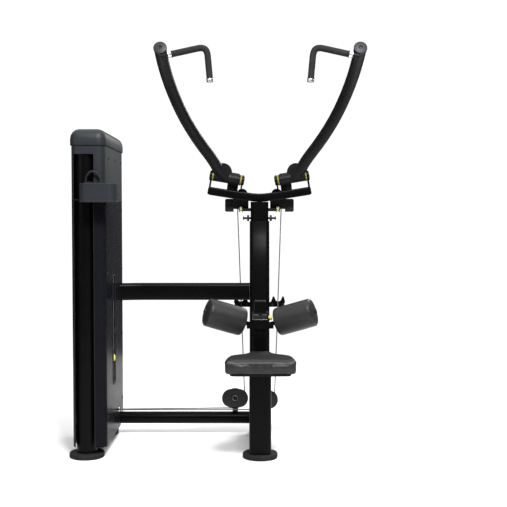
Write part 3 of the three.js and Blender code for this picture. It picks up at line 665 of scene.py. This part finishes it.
# ---- carriage and knob --------------------------------------------------------------------------
def add_carriage_details():
    stem_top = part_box("pad_stem")[1].z
    half = SLEEVE_HALF
    y = STEM_Y
    lip = []
    for sx, sy in ((-1, -1), (1, -1), (1, 1), (-1, 1)):
        lip.append(Vector((sx * (half - 0.006), y + sy * (half - 0.006), 0.7185)))
    points, faces = frame_ring(lip, 0.005, 0.003)
    fix(mesh_object("carriage_bush", points, faces, materials["nylon"]), "thigh_carriage")
    knob_low, knob_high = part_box("pop_pin")
    z = (knob_low.z + knob_high.z) / 2
    knob = [(0.0052, -0.002), (0.0085, -0.002), (0.0098, -0.001), (0.0118, 0.0025), (0.0122, 0.004),
            (0.0122, 0.0105), (0.0116, 0.0125), (0.0098, 0.0138), (0.006, 0.0144), (0, 0.0144)]
    grip = turned("pop_pin_knob", knob, (KNOB_X, y, z), (1, 0, 0), materials["yellow_plastic"], 40)
    fix(grip, "pop_pin")
    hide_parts("pop_pin")
    pin = [(0, -0.0155), (0.0042, -0.0155), (0.005, -0.0147), (0.005, 0.0)]
    shank = turned("pop_pin_shank", pin, (KNOB_X, y, z), (1, 0, 0), materials["steel"], 28)
    fix(shank, "pop_pin")
    barrel = [(0.0056, 0), (0.0112, 0), (0.0112, 0.0022), (0.0094, 0.0026), (0.0094, 0.0034), (0.0056, 0.0034)]
    fix(turned("pop_pin_barrel", barrel, (half + 0.0002, y, z), (1, 0, 0), materials["steel"], 6, 20),
        "thigh_carriage")
    for k, at in enumerate((0.648, 0.712)):
        cap_screw(f"carriage_screw_{k}", (-half, y + 0.012 * (1 if k else -1), at), (-1, 0, 0), 0.006,
                  "thigh_carriage")
    corners = [Vector((sx * 0.0285, y + sy * 0.0285, stem_top + 0.0015))
               for sx, sy in ((-1, -1), (1, -1), (1, 1), (-1, 1))]
    points, faces = plate_points(corners, 0.004)
    fix(mesh_object("stem_plug", points, faces, materials["nylon"]), "frame")


def frame_ring(corners, width, height):
    """A low rectangular ring: corners are the middle of the ring's width, height its thickness."""
    middle = sum(corners, Vector()) / 4
    points = []
    for corner in corners:
        out = (corner - middle).normalized() * width * 0.7071
        points += [corner - out, corner + out, corner + out + Vector((0, 0, height)),
                   corner - out + Vector((0, 0, height))]
    faces = []
    for i in range(4):
        j = (i + 1) % 4
        for k in range(4):
            n = (k + 1) % 4
            faces.append((4 * i + k, 4 * i + n, 4 * j + n, 4 * j + k))
    return points, faces


def plate_points(corners, height):
    """A flat plate on four corners, its upper edge drawn in a little."""
    middle = sum(corners, Vector()) / 4
    up = Vector((0, 0, height))
    upper = [middle + (corner - middle) * 0.94 + up for corner in corners]
    edge = [corner + up * 0.6 for corner in corners]
    return lofted([corners, edge, upper])


def bevelled_box(name, low, high, material, body, slot, width=0.0008):
    """A box with rounded edges, between two opposite corners."""
    x, y, z = zip(low, high)
    points = [(x[i], y[j], z[k]) for i in (0, 1) for j in (0, 1) for k in (0, 1)]
    faces = [(0, 1, 3, 2), (4, 6, 7, 5), (0, 4, 5, 1), (2, 3, 7, 6), (0, 2, 6, 4), (1, 5, 7, 3)]
    obj = mesh_object(name, points, faces, material, 30)
    edge = obj.modifiers.new("edge", "BEVEL")
    edge.width = width
    edge.segments = 3
    apply_modifiers(obj)
    soften(obj.data, 50)
    return fix(obj, body)


def cut_plate(name, outline, y, thickness, material, body):
    """A flat plate facing the front: outline is its (x, z) corners, y its front face."""
    rings = []
    for inset, depth in ((0.0008, 0), (0, 0.0008), (0, thickness - 0.0008), (0.0008, thickness)):
        middle = Vector((sum(x for x, _ in outline), 0, sum(z for _, z in outline))) / len(outline)
        ring = []
        for x, z in outline:
            away = Vector((x, 0, z)) - middle
            ring.append(Vector((x, y + depth, z)) - away.normalized() * inset)
        rings.append(ring)
    return fix(mesh_object(name, *lofted(rings), material=material), body)


def add_carriage_plate():
    """Light metal strips on the carriage's front, partly bare edges and partly painted highlight lines, the
    dark hollow between them, and a painted highlight strip on the stem above it.

    The strip stands 0.9 mm off the stem and cuts the carriage when it slides up: a known fault.
    """
    y = CARRIAGE_FACE_Y
    for name, low, high in (("left", (-0.0385, y, 0.688), (-0.0362, y + 0.003, 0.717)),
                            ("bottom", (-0.0385, y, 0.6862), (0.0385, y + 0.003, 0.6882)),
                            ("top_left", (-0.0345, y, 0.711), (-0.008, y + 0.003, 0.7128)),
                            ("top_right", (0.008, y, 0.711), (0.0345, y + 0.003, 0.7128))):
        # each lip's light metal is partly a bare edge, partly a painted highlight line
        bevelled_box(f"carriage_lip_{name}", low, high, bare_edge_and_painted_highlight, "thigh_carriage", "steel")
    strip_low, strip_high = (-0.0301, 0.0648, 0.722), (-0.0297, 0.0651, 0.7735)
    # a light metal strip standing for a painted highlight along the stem's edge
    bevelled_box("stem_highlight_strip", strip_low, strip_high, bare_edge_and_painted_highlight, "frame", "steel", 0.00005)
    hollow = [(-0.0345, 0.69), (0.0345, 0.69), (0.0345, 0.709), (-0.0345, 0.709)]
    cut_plate("carriage_recess", hollow, 0.0528, 0.0022, materials["nylon"], "thigh_carriage")


def add_cable_guards():
    """A bracket on each side of the column, with two horns that keep the cable in line."""
    for side, sign in SIDES:
        horns = [(0.058, 0.7), (0.135, 0.7), (0.148, 0.728), (0.141, 0.7555), (0.134, 0.757), (0.124, 0.733),
                 (0.108, 0.7255), (0.096, 0.733), (0.086, 0.757), (0.079, 0.7555), (0.069, 0.728),
                 (0.058, 0.722)]
        outline = [(sign * (x - GUARD_SHIFT), z) for x, z in horns]
        for face, y in (("front", 0.583), ("back", 0.615)):
            cut_plate(f"cable_guard_{face}_{side}", outline, y, 0.004, materials["frame_paint"], "frame")
        for k, x in enumerate((0.075, 0.137)):
            spacer = [(0, 0), (0.0055, 0), (0.0055, 0.028), (0, 0.028)]
            fix(turned(f"guard_spacer_{k}_{side}", spacer, (sign * (x - GUARD_SHIFT), 0.587, 0.712), (0, 1, 0),
                       materials["steel"], 20), "frame")
            spot = (sign * (x - GUARD_SHIFT), 0.583, 0.712)
            cap_screw(f"guard_screw_{k}_{side}", spot, (0, -1, 0), 0.0055, "frame")
        foot = sorted_corners((sign * 0.05, 0.587, 0.7015), (sign * 0.068, 0.615, 0.721))
        bevelled_box(f"guard_foot_{side}", *foot, materials["frame_paint"], "frame", "frame_paint", 0.0015)


def sorted_corners(a, b):
    return tuple(map(min, a, b)), tuple(map(max, a, b))


def add_stop_bumpers():
    """A bracket with a rubber bumper behind the crossbar, where each lever comes to rest."""
    for side, sign in SIDES:
        lobe = [(0.062, 1.318), (0.146, 1.328)]
        for k in range(9):
            a = math.radians(10 + 20 * k)
            lobe.append((0.098 + 0.03 * math.cos(a), 1.337 + 0.027 * math.sin(a)))
        outline = [(sign * x, z) for x, z in lobe]
        cut_plate(f"stop_bracket_{side}", outline, 0.6705, 0.012, materials["frame_paint"], "frame")
        bumper = [(0.0, 0), (0.0155, 0), (0.017, 0.001), (0.0164, 0.008), (0.0125, 0.0105), (0, 0.0112)]
        fix(turned(f"stop_bumper_{side}", bumper, (sign * 0.098, 0.6825, 1.335), (0, 1, 0),
                   materials["foot_rubber"], 32), "frame")


# ---- arms and handles ---------------------------------------------------------------------------
GRIP_BAR = [(0.438, 0.006, 2.0092), (0.4, 0.006, 2.0174), (0.36, 0.006, 2.0261), (0.32, 0.006, 2.0348)]
GRIP_BEND = [(0.292, 0.006, 2.039), (0.272, 0.006, 2.032), (0.262, 0.006, 2.012), (0.258, 0.006, 1.98)]
GRIP_END = [(0.2544, 0.006, 1.94), (0.2508, 0.006, 1.9), (0.2499, 0.006, 1.89)]
GRIP_RADIUS = 0.0163


def add_handles():
    for side, sign in SIDES:
        body = f"handle_{side}"
        path = [mirror(p, sign) for p in smooth_path(GRIP_BAR + GRIP_BEND + GRIP_END, 8)]
        radii = [GRIP_RADIUS] * len(path)
        radii[0] = radii[-1] = GRIP_RADIUS - 0.0012
        fix(swept(f"grip_{side}", path, radii, grip_rubber, 36), body)
        for number, start in enumerate((path[0], path[-1])):
            ahead = (path[1] - path[0]) if number == 0 else (path[-1] - path[-2])
            ring = [(GRIP_RADIUS + 0.001) * Vector((math.cos(a), math.sin(a), 0))
                    for a in (k * math.pi / 20 for k in range(40))]
            turn = Z_AXIS.rotation_difference(ahead.normalized())
            line = [start + turn @ point for point in ring]
            rim = swept(f"grip_rim_{number}_{side}", line, 0.0014, grip_rubber, 8, closed=True)
            fix(rim, body)
        along = (Vector(GRIP_BAR[1]) - Vector(GRIP_BAR[0])).normalized()
        collar = [(0.0151, -0.0008), (0.0141, 0.0006), (0.0138, 0.0025), (0.0138, 0.016), (0.0144, 0.0178),
                  (0.0151, 0.018)]
        collar = [(r + 0.0022, z) for r, z in collar]
        fix(turned(f"collar_{side}", collar, mirror(Vector(GRIP_BAR[0]) - along * 0.0182, sign),
                   mirror(along, sign), aluminium, 40), body)
        down = (Vector(GRIP_END[-1]) - Vector(GRIP_END[0])).normalized()
        cap = [(0.015, 0), (0.0172, 0.0006), (0.0176, 0.0022), (0.0176, 0.0172), (0.0168, 0.0198),
               (0.0148, 0.0212), (0.0068, 0.0216), (0.0064, 0.0212), (0.006, 0.0178), (0, 0.0176)]
        fix(turned(f"end_cap_{side}", cap, mirror(Vector(GRIP_END[-1]) - down * 0.0016, sign),
                   mirror(down, sign), aluminium, 48), body)


def add_arm_tips():
    """The round cap on each arm's front end, with a hexagon recess."""
    for side, sign in SIDES:
        tip = Vector((0.495, 0.004, 2.04))
        before = Vector((0.493, 0.14, 1.99))
        along = mirror((tip - before).normalized(), sign)
        tip = mirror(tip, sign)
        rim = [(0.0318, -0.012), (0.0332, -0.011), (0.0336, -0.009), (0.0336, 0.0012), (0.0325, 0.0038),
               (0.029, 0.0052), (0.011, 0.0066)]
        fix(turned(f"tip_cap_{side}", rim, tip, along, materials["grey_plastic"], 48),
            f"arm_{side}")
        recess = [(0.0112, 0.0067), (0.0096, 0.0064), (0.0092, 0.0008), (0, 0.0006)]
        socket = turned(f"tip_socket_{side}", recess, tip, along, materials["nylon"], 6, 20)
        fix(socket, f"arm_{side}")


def add_hub_details():
    for side, sign in SIDES:
        for end, at in (("inner", -1), ("outer", 1)):
            axis = hub_direction(at, 0, 0, sign)
            ring = [(0.0156, 0.0), (0.0302, 0.0), (0.0312, 0.001), (0.0312, 0.0036), (0.0302, 0.0046),
                    (0.0262, 0.0046), (0.0262, 0.008), (0.0156, 0.008)]
            fix(turned(f"hub_ring_{end}_{side}", ring, hub_point(at * 0.0757, 0, 0, sign), axis,
                       ring_yellow, 48), f"arm_{side}")
            cap = [(0, 0.0), (0.026, 0.0), (0.0275, 0.001), (0.0275, 0.0034), (0.026, 0.005), (0.017, 0.0064),
                   (0.0085, 0.007), (0.008, 0.0064), (0.0076, 0.0042), (0, 0.004)]
            fix(turned(f"shaft_cap_{end}_{side}", cap, hub_point(at * 0.0925, 0, 0, sign), axis,
                       materials["nylon"], 40), "frame")
        for k, (y, z) in enumerate(((0.034, 0.006), (-0.006, 0.036))):
            cap_screw(f"hub_screw_{k}_{side}", hub_point(0.05, y * 0.84, z * 0.84, sign),
                      hub_direction(0, y, z, sign), 0.0045, f"arm_{side}")
        add_weld(f"gusset_weld_{side}", side, sign)


def add_weld(name, side, sign):
    """A bead of weld round each face of the gusset disc."""
    for face, y in (("front", 0.634), ("back", 0.672)):
        line = []
        for k in range(72):
            a = k * math.pi / 36
            reach = 0.0475 + 0.0006 * math.sin(k * 2.2)
            line.append(mirror((0.205 + reach * math.cos(a), y, 1.457 + reach * math.sin(a)), sign))
        bead = swept(f"{name}_{face}", line, 0.0022, materials["arm_paint"], 8, closed=True)
        fix(bead, f"arm_{side}")


def add_counterweights():
    """The bolts and nuts that hold each counterweight to its lever."""
    for side, sign in SIDES:
        low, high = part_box(f"counterweight_{side}")
        middle = (low + high) / 2
        for k, x in enumerate((-0.03, 0.032)):
            spot = Vector((middle.x + sign * x, low.y, middle.z - 0.006))
            cap_screw(f"weight_bolt_{k}_{side}", spot, (0, -1, 0), 0.0075, f"arm_{side}")
            back = Vector((middle.x + sign * x, high.y, middle.z - 0.006))
            hex_nut(f"weight_nut_{k}_{side}", back, (0, 1, 0), 0.008, f"arm_{side}")


CABLE_TOP = Vector((0.124, 0.69, 1.252))


def add_guides_and_tails():
    """The roller each cable leaves the head by, and the cable's tail up to the counterweight."""
    for side, sign in SIDES:
        centre = mirror((CABLE_TOP.x - 0.019, CABLE_TOP.y, CABLE_TOP.z - 0.003), sign)
        wheel = [(0.0042, -0.0065), (0.0142, -0.0065), (0.0148, -0.0055), (0.0128, -0.0025), (0.0124, 0),
                 (0.0128, 0.0025), (0.0148, 0.0055), (0.0142, 0.0065), (0.0042, 0.0065)]
        fix(turned(f"guide_roller_{side}", wheel, centre, (1, 0, 0), pale_nylon, 36), "frame")
        for face, at in (("inner", -1), ("outer", 1)):
            plate = [(0, 0.0072), (0.0185, 0.0072), (0.0192, 0.008), (0.0192, 0.0102), (0.0185, 0.011),
                     (0, 0.011)]
            cheek = turned(f"guide_cheek_{face}_{side}", plate, centre, (at * sign, 0, 0),
                           materials["frame_paint"], 32)
            fix(cheek, "frame")
        cap_screw(f"guide_screw_{side}", centre + Vector((sign * 0.011, 0, 0)), (sign, 0, 0), 0.005, "frame")
        low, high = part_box(f"counterweight_{side}")
        top = mirror(CABLE_TOP, sign)
        end = Vector((top.x + sign * 0.004, (low.y + high.y) / 2 - 0.012, low.z + 0.028))
        path = [top.lerp(end, k / 12) for k in range(13)]
        tail = swept(f"cable_tail_{side}", path, CABLE_RADIUS, wire_rope, 14)
        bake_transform(tail)


def add_stack_drops():
    """Each cable's drop inside the tower, as a wire-rope tube of one fixed length; the real drop shortens as
    the stack rises to the top pulley.
    """
    for side, _ in SIDES:
        low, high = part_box(f"cable_drop_{side}")
        x = (low.x + high.x) / 2
        y = (low.y + high.y) / 2
        top = Vector((x, y, high.z))
        end = Vector((x, y, low.z))
        path = [top.lerp(end, k / 24) for k in range(25)]
        drop = swept(f"stack_drop_{side}", path, CABLE_RADIUS, wire_rope, 14)
        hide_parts(f"cable_drop_{side}")
        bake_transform(drop)


def add_head_details():
    for sign in (-1, 1):
        name = "lr"[sign > 0]
        cap_screw(f"cross_head_{name}", (sign * 0.088, 0.647, 1.197), (sign, 0, 0), 0.0095, "frame")
        for k, x in enumerate((-0.088, 0.088)):
            plate_weld(f"plate_weld_{k}_{name}", x, sign)


def plate_weld(name, x, sign):
    """A bead where a pivot plate stands on the crossbar, on its front and its back."""
    for face, y in (("front", -0.0225), ("back", 0.0225)):
        line = []
        for k in range(16):
            z = -0.105 + 0.0022 * math.sin(k * 1.9) * 0.3 + 0.034 * k / 15
            line.append(hub_point(x + 0.0048, y * 0.98, z, sign))
        fix(swept(f"{name}_{face}", line, 0.002, materials["frame_paint"], 8), "frame")


# ---- pulleys ------------------------------------------------------------------------------------
def add_pulley_details():
    lean = math.radians(12)
    axis = Vector((0, -math.cos(lean), math.sin(lean)))
    for side, (x, y) in (("left", (-0.135, 0.48)), ("right", (0.028, 0.44))):
        centre = Vector((x, y, 0.205))
        hub = [(0, 0.0158), (0.0135, 0.0158), (0.0146, 0.0168), (0.0146, 0.0192), (0.0135, 0.0202),
               (0, 0.0202)]
        fix(turned(f"pulley_washer_{side}", hub, centre, axis, materials["steel"], 32), "frame")
        cap_screw(f"pulley_bolt_{side}", centre + axis * 0.0202, axis, 0.0098, "frame")
        hex_nut(f"pulley_nut_{side}", centre - axis * 0.0202, -axis, 0.011, "frame")
        across = Vector((0, axis.z, -axis.y)).normalized()
        for k in range(5):
            angle = k * 2 * math.pi / 5
            spoke = Vector((math.cos(angle), 0, 0)) + across * math.sin(angle)
            web = turned(f"pulley_web_{k}_{side}", [(0.0, 0), (0.0026, 0), (0.0022, 0.026), (0.0, 0.0265)],
                         centre + spoke * 0.014 - axis * 0.0064, spoke, materials["nylon"], 10)
            fix(web, f"lower_pulley_{side}")


# ---- tower --------------------------------------------------------------------------------------
TOWER = {"left": -0.936, "right": -0.765, "front": -0.04, "back": 0.605, "corner": 0.042}
HOUSING_Z = 1.29
CAP_Z = 1.558


def tower_line(z, grow=0.0, corner_steps=8):
    """The tower's rounded outline in plan at height z, pushed out by grow."""
    half_x = (TOWER["right"] - TOWER["left"]) / 2 + grow
    half_y = (TOWER["back"] - TOWER["front"]) / 2 + grow
    middle = Vector(((TOWER["left"] + TOWER["right"]) / 2, (TOWER["front"] + TOWER["back"]) / 2, z))
    radius = TOWER["corner"] + grow
    line = []
    for sx, sy, start in ((1, -1, -90), (1, 1, 0), (-1, 1, 90), (-1, -1, 180)):
        corner = middle + Vector((sx * (half_x - radius), sy * (half_y - radius), 0))
        for k in range(corner_steps + 1):
            a = math.radians(start + 90 * k / corner_steps)
            line.append(corner + Vector((math.cos(a), math.sin(a), 0)) * radius)
    return line


def add_tower_trim():
    lip = tower_line(CAP_Z + 0.0035, 0.0018)
    fix(swept("cap_lip", lip, 0.0032, materials["grey_plastic"], 10, closed=True), "frame")
    band = tower_line(HOUSING_Z, 0.0004)
    fix(swept("housing_joint", band, 0.0016, materials["nylon"], 8, closed=True), "frame")
    slot_y, slot_z = (0.202, 0.272), (0.33, 0.9)
    edge = rounded_slot(TOWER["right"] + 0.0004, slot_y, slot_z, 0.012)
    fix(swept("selector_slot_edge", edge, 0.0034, materials["nylon"], 10, closed=True), "frame")
    right, front, back = TOWER["right"], TOWER["front"], TOWER["back"]
    for j, z in enumerate((0.2, 0.56, 0.92, 1.24)):
        for k, y in enumerate((front + 0.062, back - 0.062)):
            cap_screw(f"cover_screw_user_{j}_{k}", (right, y, z), (1, 0, 0), 0.006, "frame")
            cap_screw(f"cover_screw_outer_{j}_{k}", (TOWER["left"], y, z), (-1, 0, 0), 0.006, "frame")
    for k, y in enumerate((0.08, 0.3, 0.52)):
        cap_screw(f"housing_screw_{k}", (right, y, 1.5), (1, 0, 0), 0.006, "frame")
        cap_screw(f"housing_screw_outer_{k}", (TOWER["left"], y, 1.5), (-1, 0, 0), 0.006, "frame")
    for k, (y, z) in enumerate(((0.44, 1.33), (0.14, 1.33))):
        cap_screw(f"housing_low_screw_{k}", (right, y, z), (1, 0, 0), 0.005, "frame")
    for k, x in enumerate((-0.92, -0.8215)):
        line = [Vector((x, front - 0.0004, z)) for z in (0.06, 0.3, 0.6, 0.9, 1.2, 1.288)]
        fix(swept(f"cover_edge_{k}", line, 0.0022, materials["nylon"], 8), "frame")


def rounded_slot(x, ys, zs, corner):
    line = []
    middle = Vector((x, sum(ys) / 2, sum(zs) / 2))
    half_y, half_z = (ys[1] - ys[0]) / 2, (zs[1] - zs[0]) / 2
    for sy, sz, start in ((1, 1, 0), (-1, 1, 90), (-1, -1, 180), (1, -1, 270)):
        centre = middle + Vector((0, sy * (half_y - corner), sz * (half_z - corner)))
        for k in range(7):
            a = math.radians(start + 15 * k)
            line.append(centre + Vector((0, math.cos(a), math.sin(a))) * corner)
    return line


def add_stack_details():
    """A steel bushing round each pin hole, and a nylon collar round each guide rod."""
    for name in [n for n in nodes if n.startswith(("stack_plate", "lifted_plate"))]:
        low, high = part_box(name)
        body = "weight_stack" if name.startswith("lifted") else "frame"
        middle_y, middle_z = (low.y + high.y) / 2, (low.z + high.z) / 2
        ring = [(0.0058, 0.0), (0.0085, 0.0), (0.0085, 0.0006), (0.0075, 0.0014), (0.0058, 0.0014),
                (0.0056, 0.0)]
        fix(turned(f"{name}_bush", ring, (high.x, middle_y, middle_z), (1, 0, 0), materials["steel"], 28),
            body)
    for name in ("guide_rod_front", "guide_rod_rear"):
        low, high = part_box(name)
        middle = (low + high) / 2
        spot = (middle.x, middle.y, 1.29)
        collar = [(0.0104, 0), (0.0165, 0), (0.018, 0.0015), (0.018, 0.0165), (0.0165, 0.018), (0.0104, 0.018)]
        fix(turned(f"{name}_collar", collar, spot, (0, 0, 1), materials["nylon"], 32), "frame")


def add_holder_rim():
    low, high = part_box("bottle_holder")
    half_x, half_y = (high.x - low.x) / 2, (high.y - low.y) / 2
    middle = (low + high) / 2
    corner = 0.044
    for name, z, grow in (("rim", high.z, -0.002), ("foot", low.z + 0.004, -0.0012)):
        line = []
        for sx, sy, start in ((1, -1, -90), (1, 1, 0), (-1, 1, 90), (-1, -1, 180)):
            centre = Vector((middle.x + sx * (half_x - corner), middle.y + sy * (half_y - corner), z))
            for k in range(11):
                a = math.radians(start + 9 * k)
                line.append(centre + Vector((math.cos(a), math.sin(a), 0)) * (corner + grow))
        fix(swept(f"holder_{name}", line, 0.0028, materials["grey_plastic"], 10, closed=True), "frame")


def add_feet():
    """Three moulded ribs round each foot's side."""
    for name in ("front_foot", "column_foot", "tower_front_foot", "tower_rear_foot"):
        low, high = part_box(name)
        radius = (high.x - low.x) / 2 - 0.0006
        middle = (low + high) / 2
        for k, z in enumerate((0.008, 0.0128, 0.0176)):
            line = [Vector((middle.x + radius * math.cos(a), middle.y + radius * math.sin(a), z))
                    for a in (j * math.pi / 40 for j in range(80))]
            fix(swept(f"{name}_rib_{k}", line, 0.0012, materials["foot_rubber"], 6, closed=True), "frame")


# ---- everything ---------------------------------------------------------------------------------
add_camera()
add_studio()
finish_cad_nodes()
add_seat()
add_thigh_pads()
add_carriage_details()
add_carriage_plate()
add_cable_guards()
add_stop_bumpers()
add_handles()
add_arm_tips()
add_hub_details()
add_counterweights()
add_guides_and_tails()
add_stack_drops()
add_head_details()
add_pulley_details()
add_tower_trim()
add_stack_details()
add_holder_rim()
add_feet()
